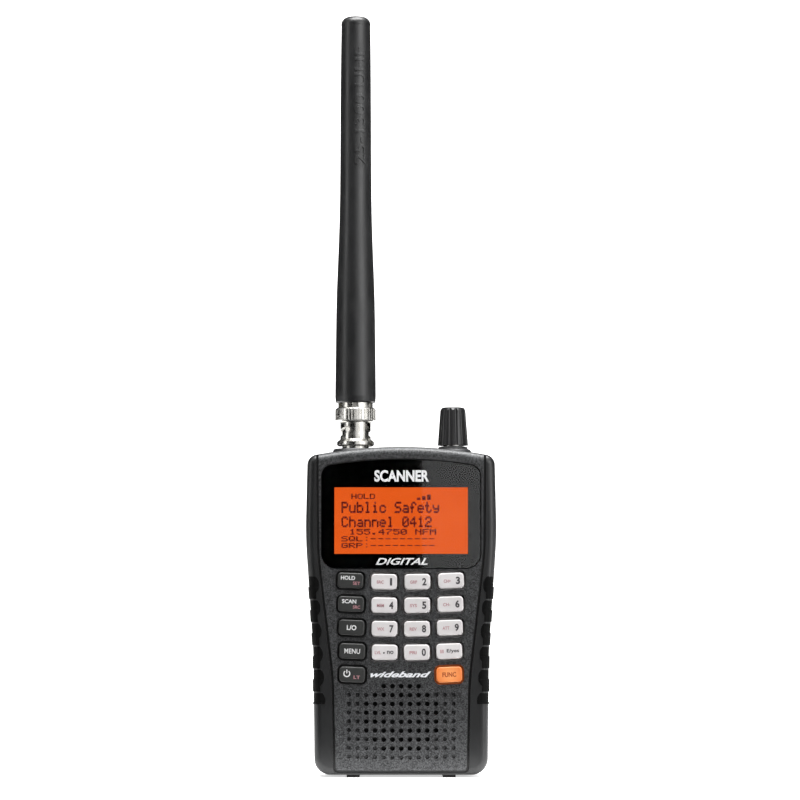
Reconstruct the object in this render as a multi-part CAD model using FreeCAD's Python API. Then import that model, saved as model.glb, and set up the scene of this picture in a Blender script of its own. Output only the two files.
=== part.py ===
import FreeCAD, Part
import math
import os

# Handheld police scanner, standing on its feet. Millimetres.
# X runs to the right as the user faces the keypad, Y runs from the front to the back, Z runs up.
# Depths are measured backwards from the front face of the case.

# Driving dimensions of the case
case_depth = 31.0
key_stand = 0.9            # how far the keys stand in front of the face
clip_reach = 12.5          # how far the belt clip stands behind the case
front_y = key_stand - (key_stand + case_depth + clip_reach) / 2
foot_height = 0.94
split_depth = 6.8          # plane where the front and rear case meet
wall = 2.2
back_wall = 2.4
front_round = 2.6
rear_round = 4.0

# Case outline as seen from the front: (x, z, corner radius), right half, from the top centre down
case_half = [(0, 120.8, 167), (33.6, 114.75, 3.8), (34.25, 86, 150), (31.4, 45, 150), (31.0, foot_height, 5.9)]

# Face plate: it wraps over the top edge, between two grooves that close in towards the bottom
plate_half = [(0, 125, 0), (29.7, 125, 0), (29.3, 80, 100), (23.95, 35, 100), (23.3, 2.6, 0.8)]
plate_thick = 1.6
groove_width = 0.85        # between the plate and the case, at the sides and the bottom
skin_depth = 3.0           # back of the wall behind the plate

# Display
window_half = [(0, 115.3, 160), (28.6, 111.27, 4.3), (28.6, 74.4, 5.5)]
window_stand = 0.2
window_back = 1.2
window_gap = 0.12
mask_front = 1.3
view_width = 47.8
view_bottom = 79.7
view_top = 103.5
lcd_width = 56.0
lcd_bottom = 75.8
lcd_top = 107.4
lcd_front = 1.75
lcd_back = 3.75
guide_front = 3.8

# Keys: four columns that close in a little towards the bottom, rows that curve up at the sides
key_wide = 9.2
key_tall = 5.5
key_corner = 1.35
key_crown = 0.45
key_gap = 0.75
key_travel = 0.8
key_lip = 1.0              # how much wider the hidden flange is than the key, on each side
key_flange_front = 3.1
key_flange_back = 3.8
plunger_radius = 1.2
plunger_back = 6.75
column_x = [-18.1, -6.1, 5.8, 17.8]
row_z = [69.65, 61.27, 52.89, 44.51, 36.2]
row_pinch = 0.012          # share by which a column closes in for each row down
row_smile = 0.45           # lift of the outer columns
key_tilt = 2.2             # degrees, in the outer columns
key_names = [
    ["key_hold", "key_1", "key_2", "key_3"],
    ["key_scan", "key_4", "key_5", "key_6"],
    ["key_lockout", "key_7", "key_8", "key_9"],
    ["key_menu", "key_point", "key_0", "key_enter"],
    ["key_power", None, None, "key_function"],
]

# Boards
board_front = 8.0
board_back = 9.6
board_half = 28.0
board_bottom = 31.7
board_top = 107.0
mat_front = 5.0
mat_back = 5.8

# Speaker and its grille
speaker_z = 21.5
speaker_radius = 15.4
grille_pitch = 3.11
grille_top = 32.5
grille_columns = 13
grille_holes = [5, 7, 9, 9, 9, 9, 7, 5, 0]
grille_hole = 0.86
grille_dimple = 0.78
dimple_depth = 1.0

# Screws that hold the case halves together: (x, z)
screw_places = [(-28.4, 110.2), (28.4, 110.2), (-28.2, 72), (28.2, 72)]
screw_radius = 1.0
screw_head = 1.9
screw_head_depth = 1.4
boss_radius = 2.4

# Batteries: three AA cells side by side
cell_radius = 7.1
cell_length = 50.5
cell_pitch = 14.8
cell_depth = 21.2
cell_bottom = 13.8
bay_half = 23.5
bay_bottom = 9.2
bay_top = 65.0
bay_front = 13.8
bay_wall = 1.1
door_half = 25.0
door_bottom = 8.8
door_top = 65.8
door_thick = 2.0
door_gap = 0.3
hinge_pin = 0.55
hinge_play = 0.07

# Belt clip
clip_axis_z = 104.0
clip_axis_depth = 34.6
clip_pin_radius = 1.25
clip_play = 0.08
clip_half = 8.6
clip_thick = 1.8
clip_back = case_depth + clip_reach
clip_top = 112.5
clip_foot = 70.0
lug_inner = 9.4
lug_outer = 12.0

# Side grips: rubber pads let into the edges of the case, with ribs of the case between them
grip_top = 71.6
grip_bottom = 26.2
grip_pitch = 8.25
grip_stand = 0.3
grip_sink = 0.9
grip_wrap = 2.4            # how far the pads reach round to the front
grip_back = 24.0
grip_edge = 32.1           # middle of the strip's outer edge, and how far it leans out per millimetre up
grip_lean = 0.055
rib_height = 0.55
ear_drop = 3.0             # a rounded ear on the upper half of each pad, below the rib
ear_radius = 3.9

# Top fittings
top_depth = 16.0           # depth of the antenna and knob axes
antenna_x = -16.55
knob_x = 18.8
jack_radius = 4.83
jack_bore = 4.05
jack_top = 129.8
stud_z = 125.0
stud_radius = 0.95
stud_reach = 5.45
stud_angle = 60.0
lock_turn = 90.0
lock_lift = 2.3
collar_bottom = 119.0
collar_top = 132.85
collar_bore = 4.93
collar_radius = 5.5
lip_top = 121.1
lip_radius = 6.7
ring_bottom = 127.9
ring_radius = 7.35
ring_ribs = 40
plug_flange = 5.85
plug_shaft = 4.1
sheath_bottom = 134.75
sheath_top = 276.2
sheath_side = [(7.38, 137.0), (7.24, 151.0), (6.88, 174.0), (5.98, 199.0), (5.64, 226.0), (5.26, 272.9)]
sheath_bore = 3.2
knob_bottom = 119.3
knob_top = 133.1
knob_low_radius = 5.52
knob_high_radius = 4.48
knob_flutes = 14
knob_push = 0.5
shaft_radius = 3.0
shaft_play = 0.07
bush_radius = 3.5

# Sockets in the left side
phone_z = 96.0
usb_z = 84.0
socket_depth = 20.0
phone_bore = 1.8

far = 400.0                # longer than any part, for cutting blocks


def point(x, depth, z):
    return FreeCAD.Vector(x, front_y + depth, z)


def block(x0, x1, depth0, depth1, z0, z1):
    return Part.makeBox(x1 - x0, depth1 - depth0, z1 - z0, point(x0, depth0, z0))


def rod_back(x, z, radius, depth0, depth1):
    return Part.makeCylinder(radius, depth1 - depth0, point(x, depth0, z), FreeCAD.Vector(0, 1, 0))


def rod_up(x, depth, radius, z0, z1):
    return Part.makeCylinder(radius, z1 - z0, point(x, depth, z0))


def rod_across(x0, x1, depth, z, radius):
    return Part.makeCylinder(radius, x1 - x0, point(x0, depth, z), FreeCAD.Vector(1, 0, 0))


def turned(x, depth, profile):
    """A solid turned about a vertical axis from a closed profile of (radius, z)."""
    wire = Part.makePolygon([point(x + r, depth, z) for r, z in profile + profile[:1]])
    return Part.Face(wire).revolve(point(x, depth, 0), FreeCAD.Vector(0, 0, 1), 360)


def mirrored(half):
    """The whole outline from its right half. Points on the centre line are not repeated."""
    left = [(-x, z, r) for x, z, r in reversed(half) if x > 0]
    return half + left


def rounded_wire(corners, depth):
    """A closed wire of straight runs joined by tangent arcs, facing the front."""
    edges = []
    last_end = None
    first_start = None
    for i, (x, z, radius) in enumerate(corners):
        here = point(x, depth, z)
        before = point(corners[i - 1][0], depth, corners[i - 1][1])
        after = point(corners[(i + 1) % len(corners)][0], depth, corners[(i + 1) % len(corners)][1])
        to_before = (before - here).normalize()
        to_after = (after - here).normalize()
        if radius == 0:
            start = end = here
        else:
            half_angle = to_before.getAngle(to_after) / 2
            start = here + to_before * (radius / math.tan(half_angle))
            end = here + to_after * (radius / math.tan(half_angle))
            inward = (to_before + to_after).normalize()
            middle = here + inward * (radius / math.sin(half_angle) - radius)
        if last_end is not None:
            edges.append(Part.LineSegment(last_end, start).toShape())
        else:
            first_start = start
        if radius > 0:
            edges.append(Part.Arc(start, middle, end).toShape())
        last_end = end
    edges.append(Part.LineSegment(last_end, first_start).toShape())
    return Part.Wire(edges)


def prism(corners, depth0, depth1, grow=0.0):
    """An outline facing the front, grown by a distance and given a depth."""
    face = Part.Face(rounded_wire(corners, depth0))
    if grow:
        face = face.makeOffset2D(grow)
    return face.extrude(FreeCAD.Vector(0, depth1 - depth0, 0))


def rounded_box(width, height, corner):
    """A centred rounded rectangle as an outline."""
    x = width / 2
    z = height / 2
    return [(x, z, corner), (x, -z, corner), (-x, -z, corner), (-x, z, corner)]


def edges_at_depth(shape, depth):
    y = front_y + depth
    return [e for e in shape.Edges if abs(e.BoundBox.YMin - y) < 1e-4 and abs(e.BoundBox.YMax - y) < 1e-4]


def joined(shapes):
    whole = shapes[0]
    for other in shapes[1:]:
        whole = whole.fuse(other)
    return whole.removeSplitter()


def case_body(inset, rear_inset=None):
    """The outer form of the case, or the same form a little inside or outside it."""
    rear_inset = inset if rear_inset is None else rear_inset
    body = prism(mirrored(case_half), inset, case_depth - rear_inset, -inset)
    body = body.makeFillet(front_round - inset, edges_at_depth(body, inset))
    return body.makeFillet(rear_round - inset, edges_at_depth(body, case_depth - rear_inset))


def case_hollow():
    """The room inside the case."""
    return prism(mirrored(case_half), skin_depth, case_depth - back_wall, -wall)


def pad_tops():
    """Height of the top of each grip pad."""
    count = math.ceil((grip_top - grip_bottom) / grip_pitch)
    return [grip_top - i * grip_pitch for i in range(count)]


def grip_space():
    """The hollows in both edges of the case that the rubber pads fill: a strip, and ears that reach further."""
    skin = case_body(-grip_stand, 0.0).cut(case_body(grip_sink, 0.0))
    strip = skin.cut(prism(mirrored(case_half), -5, case_depth + 5, -grip_wrap))
    ears = []
    for z in pad_tops():
        middle = z - ear_drop
        edge = grip_edge + grip_lean * (middle - (grip_top + grip_bottom) / 2)
        ears += [rod_back(side * edge, middle, ear_radius, -5, plate_thick) for side in (-1, 1)]
    band = joined([strip, skin.common(joined(ears))])
    band = band.common(block(-far, far, -5, grip_back, grip_bottom, grip_top))
    return band.cut([block(-far, far, -5, far, z - rib_height / 2, z + rib_height / 2) for z in pad_tops()[1:]])


def grip(side):
    """Rubber pads between ribs: the upper half of each lies flush, the lower half stands out."""
    pads = grip_space().common(block(0, far, -5, far, 0, far) if side > 0 else block(-far, 0, -5, far, 0, far))
    skin = case_body(-grip_stand, 0.0).cut(case_body(0.0, 0.0))
    return pads.cut([skin.common(block(-far, far, -5, far, z - grip_pitch * 0.45, z)) for z in pad_tops()])


def key_places():
    """Name, x, z and tilt of every key."""
    places = []
    for row, names in enumerate(key_names):
        for name, x in zip(names, column_x):
            if name is None:
                continue
            outward = x / column_x[-1]
            squeeze = 1 - row_pinch * min(row, 3)
            z = row_z[row] + row_smile * outward * outward
            places.append((name, x * squeeze, z, -key_tilt * outward))
    return places


def put_key(shape, x, z, tilt):
    """Moves a shape made about the origin to the place of a key."""
    shape.rotate(FreeCAD.Vector(0, 0, 0), FreeCAD.Vector(0, 1, 0), tilt)
    shape.translate(FreeCAD.Vector(x, 0, z))
    return shape


def key_openings(depth0, depth1, gap):
    holes = []
    outline = rounded_box(key_wide + 2 * gap, key_tall + 2 * gap, key_corner + gap)
    for name, x, z, tilt in key_places():
        holes.append(put_key(prism(outline, depth0, depth1), x, z, tilt))
    return holes


def key():
    """A key cap, its hidden flange and the plunger that presses the contact."""
    cap = prism(rounded_box(key_wide, key_tall, key_corner), -key_stand, key_flange_front)
    cap = cap.makeFillet(key_crown, edges_at_depth(cap, -key_stand))
    flange = prism(rounded_box(key_wide + 2 * key_lip, key_tall + 2 * key_lip, key_corner + key_lip),
                   key_flange_front, key_flange_back)
    plunger = rod_back(0, 0, plunger_radius, key_flange_back, plunger_back)
    return joined([cap, flange, plunger])


def grille_places():
    """(x, z, is_through) of every hole and dimple in the speaker grille."""
    middle = grille_columns // 2
    places = []
    for row, through in enumerate(grille_holes):
        for column in range(grille_columns):
            offset = column - middle
            sag = 0.05 * row * (1 - (offset / middle) ** 2)
            is_through = abs(offset) <= through // 2 and through > 0
            if row > 0 or is_through:
                places.append((offset * grille_pitch, grille_top - row * grille_pitch - sag, is_through))
    return places


def face_plate():
    plate = prism(mirrored(plate_half), 0, plate_thick).common(case_body(0.0))
    plate = plate.cut(prism(mirrored(window_half), -5, 5, window_gap))
    plate = plate.cut(key_openings(-5, 5, key_gap))
    cutters = []
    for x, z, is_through in grille_places():
        if is_through:
            cutters.append(rod_back(x, z, grille_hole, -1, 5))
        else:
            cutters.append(rod_back(x, z, grille_dimple, -1, dimple_depth))
    return plate.cut(cutters)


def front_case():
    case = case_body(0.0).common(block(-far, far, -5, split_depth, -5, far))
    case = case.cut(case_hollow())
    case = case.cut(prism(mirrored(plate_half), -1, plate_thick, groove_width))
    case = case.cut(block(-lcd_width / 2 - 0.2, lcd_width / 2 + 0.2, -1, 5, lcd_bottom - 0.2, lcd_top + 0.2))
    case = case.cut(key_openings(-1, 5, key_gap))
    case = case.cut(rod_back(0, speaker_z, speaker_radius - 0.2, -1, 5))
    case = case.cut(grip_space())
    case = case.cut(foot_pockets())
    for x, z in screw_places:
        boss = rod_back(x, z, boss_radius, skin_depth - 0.5, split_depth)
        case = case.fuse(boss).cut(rod_back(x, z, screw_radius, skin_depth, split_depth + 1))
    return case.removeSplitter()


def top_pads():
    """Thicker, flat places in the top wall for the jack and the encoder."""
    pads = [
        rod_up(antenna_x, top_depth, 8.6, 113.4, 117.0),
        rod_up(knob_x, top_depth, 7.6, 113.4, 117.0),
    ]
    inside = prism(mirrored(case_half), 0, case_depth, -0.6)
    return [pad.common(inside) for pad in pads]


def foot_pockets():
    return [foot(side) for side in (-1, 1)]


def foot(side):
    x = side * 17.2
    return block(x - 2.3, x + 2.3, 4.5, 26.5, 0, foot_height + 1.0)


def battery_bay():
    """The walls of the battery compartment, open at the back."""
    outer = block(-bay_half - bay_wall, bay_half + bay_wall, bay_front - bay_wall, case_depth - 1,
                  bay_bottom - bay_wall, bay_top + bay_wall)
    inner = block(-bay_half, bay_half, bay_front, case_depth, bay_bottom, bay_top)
    notches = [block(x - 2.2, x + 2.2, 25.9, case_depth, bay_top - 1, bay_top + 5)
               for x in (-cell_pitch / 2, cell_pitch / 2)]
    return outer.cut(inner).cut(notches)


def rear_case():
    case = case_body(0.0).common(block(-far, far, split_depth, far, -5, far))
    case = case.cut(case_hollow())
    case = joined([case, battery_bay()] + top_pads())
    opening = block(-door_half, door_half, case_depth - back_wall - 0.01, far, door_bottom, door_top)
    case = case.cut(opening)
    cutters = [grip_space()]
    cutters += foot_pockets()
    for side in (-1, 1):
        x = side * (door_half + 0.7)
        cutters.append(rod_across(x - 0.75, x + 0.75, hinge_depth(), hinge_z(), hinge_pin + hinge_play))
    cutters.append(rod_up(antenna_x, top_depth, jack_radius, 100, far))
    cutters.append(rod_up(antenna_x, top_depth, 8.2, 116.0, far))
    cutters.append(rod_up(knob_x, top_depth, bush_radius, 100, far))
    cutters.append(rod_up(knob_x, top_depth, 6.6, 115.9, far))
    cutters.append(rod_across(-far, -20, socket_depth, phone_z, 3.0))
    cutters.append(block(-far, -20, socket_depth - 3.85, socket_depth + 3.85, usb_z - 1.95, usb_z + 1.95))
    case = case.cut(cutters)
    for x, z in screw_places:
        boss = rod_back(x, z, boss_radius, split_depth, case_depth - back_wall + 0.5)
        case = case.fuse(boss)
        case = case.cut([rod_back(x, z, screw_radius, 0, far),
                         rod_back(x, z, screw_head, case_depth - screw_head_depth - 0.4, far)])
    return joined([case] + clip_lugs())


def clip_lugs():
    lugs = []
    for side in (-1, 1):
        x0, x1 = sorted((side * lug_inner, side * lug_outer))
        lug = rod_across(x0, x1, clip_axis_depth, clip_axis_z, 3.0)
        foot_block = block(x0, x1, case_depth - 0.5, clip_axis_depth, clip_axis_z - 3, clip_axis_z + 3)
        hole = rod_across(x0 - 1, x1 + 1, clip_axis_depth, clip_axis_z, clip_pin_radius)
        lugs.append(lug.fuse(foot_block).cut(hole))
    return lugs


def hinge_depth():
    return case_depth - door_thick / 2 - 0.1


def hinge_z():
    return door_bottom + door_gap + door_thick / 2


def battery_door():
    """A flap with a rounded lower edge and two stub pins."""
    half = door_half - door_gap
    front = hinge_depth() - door_thick / 2
    panel = block(-half, half, front, front + door_thick, hinge_z(), door_top - door_gap)
    roll = rod_across(-half, half, hinge_depth(), hinge_z(), door_thick / 2)
    pins = [rod_across(-half - 1.0, -half, hinge_depth(), hinge_z(), hinge_pin),
            rod_across(half, half + 1.0, hinge_depth(), hinge_z(), hinge_pin)]
    door = joined([panel, roll] + pins)
    ribs = [block(-12, 12, front + door_thick - 0.4, far, z, z + 0.8) for z in (54, 56, 58, 60)]
    return door.cut(ribs)


def door_latch():
    """Two springy tongues, between the cells, that hook behind the case above the door."""
    inner = hinge_depth() - door_thick / 2
    tongues = []
    for side in (-1, 1):
        x = side * cell_pitch / 2
        stem = block(x - 1.5, x + 1.5, inner - 1.3, inner, door_top - 5, door_top - 1.5)
        hook = block(x - 1.5, x + 1.5, inner - 2.3, inner - 1.0, door_top - 2.5, door_top + 1.6)
        tongues.append(joined([stem, hook]))
    return Part.makeCompound(tongues)


def battery_cells():
    cells = []
    for i in (-1, 0, 1):
        x = i * cell_pitch
        body = rod_up(x, cell_depth, cell_radius, cell_bottom, cell_bottom + cell_length - 1.2)
        nub = rod_up(x, cell_depth, 2.7, cell_bottom + cell_length - 1.2, cell_bottom + cell_length)
        cells.append(body.fuse(nub))
    return Part.makeCompound(cells)


def battery_contacts():
    """A flat contact above each cell and a coil spring on a plate below it."""
    pieces = []
    for i in (-1, 0, 1):
        x = i * cell_pitch
        plate_top = bay_top - 0.05
        pieces.append(block(x - 4.5, x + 4.5, cell_depth - 4.5, cell_depth + 4.5, plate_top - 0.5, plate_top))
        plate = block(x - 4.5, x + 4.5, cell_depth - 4.5, cell_depth + 4.5, bay_bottom + 0.02, bay_bottom + 0.4)
        path = Part.makeHelix(1.3, 3.2, 3.2)
        path.translate(point(x, cell_depth, bay_bottom + 0.75))
        wire_end = Part.Wire(Part.makeCircle(0.4, point(x + 3.2, cell_depth, bay_bottom + 0.75),
                                             FreeCAD.Vector(0, 1, 0)))
        coil = Part.Wire(path).makePipeShell([wire_end], True, True)
        pieces.append(plate.fuse(coil))
    return Part.makeCompound(pieces)


def window():
    """The clear lens over the display."""
    lens = prism(mirrored(window_half), -window_stand, window_back)
    return lens.makeChamfer(0.25, edges_at_depth(lens, -window_stand))


def window_mask():
    """The black surround printed on a thin sheet behind the lens."""
    sheet = prism(mirrored(window_half), mask_front, plate_thick)
    return sheet.cut(block(-view_width / 2, view_width / 2, -1, 5, view_bottom, view_top))


def lcd_panel():
    glass = block(-lcd_width / 2, lcd_width / 2, lcd_front, lcd_back, lcd_bottom, lcd_top)
    return glass


def light_guide():
    """The moulded block that holds the glass and spreads the backlight."""
    block_body = block(-lcd_width / 2, lcd_width / 2, guide_front, board_front, lcd_bottom, lcd_top)
    room = block(-lcd_width / 2 + 2, lcd_width / 2 - 2, guide_front + 1.6, board_front, lcd_bottom + 2, lcd_top - 2)
    return block_body.cut(room)


def keypad_mat():
    """A rubber sheet with a rim that stands on the board, and a hole round each plunger."""
    left, right, bottom, top = -24.4, 24.4, board_bottom, 74.6
    sheet = block(left, right, mat_front, mat_back, bottom, top)
    rim = block(left, right, mat_back, board_front, bottom, top)
    rim = rim.cut(block(left + 1.2, right - 1.2, 0, far, bottom + 1.2, top - 1.2))
    mat = sheet.fuse(rim)
    mat = mat.cut(rod_back(0, speaker_z, speaker_radius + 0.6, 0, far))
    return mat.cut([rod_back(x, z, plunger_radius + 0.4, 0, far) for name, x, z, tilt in key_places()])


def main_board():
    board = block(-board_half, board_half, board_front, board_back, board_bottom, board_top)
    cutters = [rod_back(x, z, boss_radius + 0.4, 0, far) for x, z in screw_places]
    cutters.append(rod_back(0, speaker_z, speaker_radius + 0.8, 0, far))
    return board.cut(cutters)


def board_components():
    """Key contacts on the front of the board, chips and a crystal on its back."""
    pieces = [rod_back(x, z, 2.0, board_front - 0.3, board_front) for name, x, z, tilt in key_places()]
    chips = [(-12, 52, 12, 12, 1.6), (9, 50, 9, 9, 1.4), (20, 62, 6, 8, 1.2), (-22, 88, 5, 9, 1.8),
             (24, 90, 4, 9, 3.0), (0, 103, 10, 4, 1.6)]
    for x, z, width, height, thick in chips:
        pieces.append(block(x - width / 2, x + width / 2, board_back, board_back + thick,
                            z - height / 2, z + height / 2))
    return Part.makeCompound(pieces)


def rf_shield():
    """A thin tin can over the receiver, open towards the board."""
    outer = block(-18, 18, board_back, board_back + 4, 69, 99)
    inner = block(-17.6, 17.6, board_back, board_back + 3.6, 69.4, 98.6)
    vents = [rod_back(x, z, 0.9, board_back + 3, far) for x in (-12, -4, 4, 12) for z in (76, 84, 92)]
    return outer.cut(inner).cut(vents)


def along_depth(shape):
    """Turns a shape made about a vertical axis so that it points backwards through the speaker's centre."""
    shape.rotate(FreeCAD.Vector(0, 0, 0), FreeCAD.Vector(1, 0, 0), -90)
    shape.translate(FreeCAD.Vector(0, front_y, speaker_z))
    return shape


def ring_profile(profile):
    """A solid turned about the origin's vertical axis, where height stands for depth."""
    wire = Part.makePolygon([FreeCAD.Vector(r, 0, h) for r, h in profile + profile[:1]])
    return Part.Face(wire).revolve(FreeCAD.Vector(0, 0, 0), FreeCAD.Vector(0, 0, 1), 360)


def speaker_frame():
    return along_depth(ring_profile([(13.2, 3.0), (speaker_radius, 3.0), (speaker_radius, 4.2), (13.8, 4.2),
                                     (7.6, 8.0), (6.6, 8.0), (6.6, 7.2), (7.2, 7.2), (13.2, 3.6)]))


def speaker_magnet():
    return along_depth(ring_profile([(0, 8.0), (7.4, 8.0), (7.4, 11.2), (7.0, 11.6), (0, 11.6)]))


def speaker_cone():
    return along_depth(ring_profile([(0, 5.0), (2.4, 5.3), (3.6, 6.6), (12.9, 3.1), (12.9, 3.4),
                                     (3.7, 7.0), (3.7, 7.9), (3.3, 7.9), (3.3, 6.8), (2.2, 5.6), (0, 5.3)]))


def speaker_cloth():
    return rod_back(0, speaker_z, speaker_radius - 0.4, plate_thick, plate_thick + 0.3)


def case_screws():
    screws = []
    for x, z in screw_places:
        shaft = rod_back(x, z, screw_radius, skin_depth + 0.6, case_depth - 0.4 - screw_head_depth)
        head = rod_back(x, z, screw_head - 0.05, case_depth - 0.4 - screw_head_depth, case_depth - 0.4)
        slot0 = block(x - 0.25, x + 0.25, case_depth - 1.1, far, z - 1.1, z + 1.1)
        slot1 = block(x - 1.1, x + 1.1, case_depth - 1.1, far, z - 0.25, z + 0.25)
        screws.append(shaft.fuse(head).cut([slot0, slot1]))
    return Part.makeCompound(screws)


def feet():
    return Part.makeCompound([foot(side) for side in (-1, 1)])


def earphone_jack():
    outer = rod_across(-34.0, -20.5, socket_depth, phone_z, 3.0)
    collar = block(-31.0, -20.5, socket_depth - 3.6, socket_depth + 3.6, phone_z - 3.2, phone_z + 3.2)
    return outer.fuse(collar).cut(rod_across(-35.0, -20.0 - 2.0, socket_depth, phone_z, phone_bore)).removeSplitter()


def usb_jack():
    shell = block(-33.6, -26.0, socket_depth - 3.85, socket_depth + 3.85, usb_z - 1.95, usb_z + 1.95)
    mouth = block(-34.0, -27.0, socket_depth - 3.4, socket_depth + 3.4, usb_z - 1.5, usb_z + 1.5)
    tongue = block(-32.0, -26.5, socket_depth - 2.6, socket_depth + 2.6, usb_z - 0.2, usb_z + 0.7)
    return shell.cut(mouth).fuse(tongue)


def bnc_jack():
    """Threaded jack with a bayonet stud on each side."""
    body = turned(antenna_x, top_depth, [(1.9, 103.0), (4.2, 103.0), (4.2, 106.0), (jack_radius, 106.0),
                                         (jack_radius, jack_top - 0.4), (jack_radius - 0.4, jack_top),
                                         (jack_bore, jack_top), (jack_bore, 120.5), (1.9, 120.5)])
    centre = point(antenna_x, top_depth, stud_z)
    studs = []
    for side in (0, 180):
        stud = Part.makeCylinder(stud_radius, stud_reach - jack_bore - 0.3, FreeCAD.Vector(jack_bore + 0.3, 0, 0),
                                 FreeCAD.Vector(1, 0, 0))
        stud.rotate(FreeCAD.Vector(0, 0, 0), FreeCAD.Vector(0, 0, 1), stud_angle + side)
        stud.translate(centre)
        studs.append(stud)
    return joined([body] + studs)


def bnc_insulator():
    """White insulator with the socket contact in its middle."""
    return turned(antenna_x, top_depth, [(0.75, 101.0), (1.9, 101.0), (1.9, 120.5), (3.0, 120.5), (3.0, 126.5),
                                         (0.75, 126.5)])


def bnc_gasket():
    ring = turned(antenna_x, top_depth, [(jack_radius, 116.0), (8.2, 116.0), (8.2, 117.3), (7.7, 118.0),
                                         (jack_radius, 118.0)])
    return ring


def panel_nuts():
    """Hexagon nut under the antenna jack and a round nut over the encoder bush."""
    hexagon = Part.makePolygon([point(antenna_x + 7.6 * math.cos(math.radians(60 * i)),
                                      top_depth + 7.6 * math.sin(math.radians(60 * i)), 111.2) for i in range(7)])
    jack_nut = Part.Face(hexagon).extrude(FreeCAD.Vector(0, 0, 2.2))
    jack_nut = jack_nut.cut(rod_up(antenna_x, top_depth, jack_radius, 100, far))
    encoder_nut = rod_up(knob_x, top_depth, 4.3, 117.7, 118.9).cut(rod_up(knob_x, top_depth, bush_radius, 100, far))
    return Part.makeCompound([jack_nut, encoder_nut])


def knob_gasket():
    return turned(knob_x, top_depth, [(bush_radius, 115.9), (6.6, 115.9), (6.6, 117.2), (6.2, 117.7), (5.4, 118.0),
                                      (5.2, 118.7), (4.36, 118.7), (4.36, 117.65), (bush_radius, 117.65)])


def encoder_body():
    """Rotary encoder with a threaded bush and room inside for its push plunger."""
    box = block(knob_x - 5.6, knob_x + 5.6, top_depth - 5.6, top_depth + 5.6, 105.4, 113.4)
    bush = rod_up(knob_x, top_depth, bush_radius, 113.4, 119.1)
    body = joined([box, bush])
    room = rod_up(knob_x, top_depth, 4.0, 106.4, 111.4)
    bore = rod_up(knob_x, top_depth, shaft_radius + shaft_play, 110, far)
    return body.cut([room, bore])


def encoder_plunger():
    return turned(knob_x, top_depth, [(0, 107.2), (1.5, 107.2), (1.5, 108.2), (3.6, 108.2), (3.6, 109.0), (0, 109.0)])


def encoder_shaft():
    shaft = rod_up(knob_x, top_depth, shaft_radius, 109.1, 129.6)
    flat = block(knob_x - 5, knob_x + 5, top_depth + 1.6, top_depth + 5, 120.5, far)
    return shaft.cut(flat)


def volume_knob():
    """Tapered knob with rounded flutes and a hollow skirt over the nut."""
    cone = turned(knob_x, top_depth, [(0, knob_bottom), (knob_low_radius, knob_bottom),
                                      (knob_high_radius + 0.12, knob_top - 1.1), (knob_high_radius - 0.45, knob_top - 0.2),
                                      (knob_high_radius - 1.3, knob_top), (0, knob_top)])
    lean = math.degrees(math.atan2(knob_low_radius - knob_high_radius, knob_top - knob_bottom))
    flutes = []
    for i in range(knob_flutes):
        flute = Part.makeCylinder(0.62, 30, FreeCAD.Vector(knob_low_radius + 0.22, 0, -2))
        flute.rotate(FreeCAD.Vector(knob_low_radius + 0.22, 0, 0), FreeCAD.Vector(0, 1, 0), -lean)
        flute.rotate(FreeCAD.Vector(0, 0, 0), FreeCAD.Vector(0, 0, 1), 360 * i / knob_flutes)
        flute.translate(point(knob_x, top_depth, knob_bottom))
        flutes.append(flute)
    knob = cone.cut(flutes)
    knob = knob.cut(rod_up(knob_x, top_depth, 4.5, knob_bottom - 1, knob_bottom + 1.3))
    return knob.cut(encoder_shaft_bore())


def encoder_shaft_bore():
    bore = rod_up(knob_x, top_depth, shaft_radius, knob_bottom - 1, 129.7)
    flat = block(knob_x - 5, knob_x + 5, top_depth + 1.6, top_depth + 5, 120.5, far)
    return bore.cut(flat)


def stud_track():
    """The way a bayonet stud takes through the collar: up the mouth, then round the rising ramp."""
    steps = 30
    cutters = []
    for i in range(steps + 1):
        share = i / steps
        cutter = Part.makeCylinder(stud_radius + 0.2, 5, FreeCAD.Vector(3, 0, 0), FreeCAD.Vector(1, 0, 0))
        cutter.rotate(FreeCAD.Vector(0, 0, 0), FreeCAD.Vector(0, 0, 1), stud_angle - share * lock_turn)
        cutter.translate(point(antenna_x, top_depth, stud_z - share * lock_lift))
        cutters.append(cutter)
    width = stud_radius + 0.2
    mouth = Part.makeBox(5, 2 * width, 12, FreeCAD.Vector(3, -width, -12))
    mouth.rotate(FreeCAD.Vector(0, 0, 0), FreeCAD.Vector(0, 0, 1), stud_angle - lock_turn)
    mouth.translate(point(antenna_x, top_depth, stud_z - lock_lift))
    return cutters + [mouth]


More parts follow.
